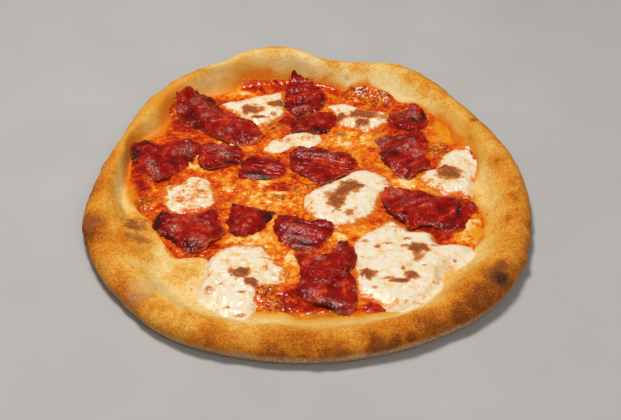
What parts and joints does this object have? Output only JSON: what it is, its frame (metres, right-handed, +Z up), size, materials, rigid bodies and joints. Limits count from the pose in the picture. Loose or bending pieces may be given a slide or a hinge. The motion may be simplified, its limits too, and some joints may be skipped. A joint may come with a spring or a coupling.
{
  "type": "pepperoni pizza",
  "caption": "Whole baked pizza with a raised uneven browned crust, tomato sauce, pools of melted white mozzarella and torn, folded pieces of pepperoni.",
  "frame": {"origin": "middle of the pizza's footprint, on the flat underside that it lies on", "axes": "+Z up through the toppings; +Y to the back, where the rim is highest; +X to the right as seen from the front"},
  "size_m": [0.2904, 0.3174, 0.0263],
  "materials": {
    "crust": "baked dough, golden brown, floury in places and charred on a few blisters",
    "sauce": "cooked tomato sauce mixed with orange oily melted cheese, wet",
    "mozzarella": "melted white mozzarella with toasted brown spots, moist",
    "pepperoni": "cooked deep-red pepperoni, oily and wrinkled"
  },
  "bodies": {
    "root": {"crust": "crust", "tomato_sauce": "sauce", "mozzarella_top": "mozzarella", "mozzarella_upper_middle": "mozzarella", "mozzarella_upper_right": "mozzarella", "mozzarella_right": "mozzarella", "mozzarella_middle": "mozzarella", "mozzarella_lower_right": "mozzarella", "mozzarella_lower_left": "mozzarella", "mozzarella_left": "mozzarella", "pepperoni_upper_left": "pepperoni", "pepperoni_far_left": "pepperoni", "pepperoni_left": "pepperoni", "pepperoni_top": "pepperoni", "pepperoni_upper_middle": "pepperoni", "pepperoni_centre": "pepperoni", "pepperoni_centre_left": "pepperoni", "pepperoni_upper_right": "pepperoni", "pepperoni_right_middle": "pepperoni", "pepperoni_right": "pepperoni", "pepperoni_lower_left": "pepperoni", "pepperoni_lower_middle_left": "pepperoni", "pepperoni_lower_middle": "pepperoni", "pepperoni_bottom": "pepperoni"}
  },
  "joints": []
}
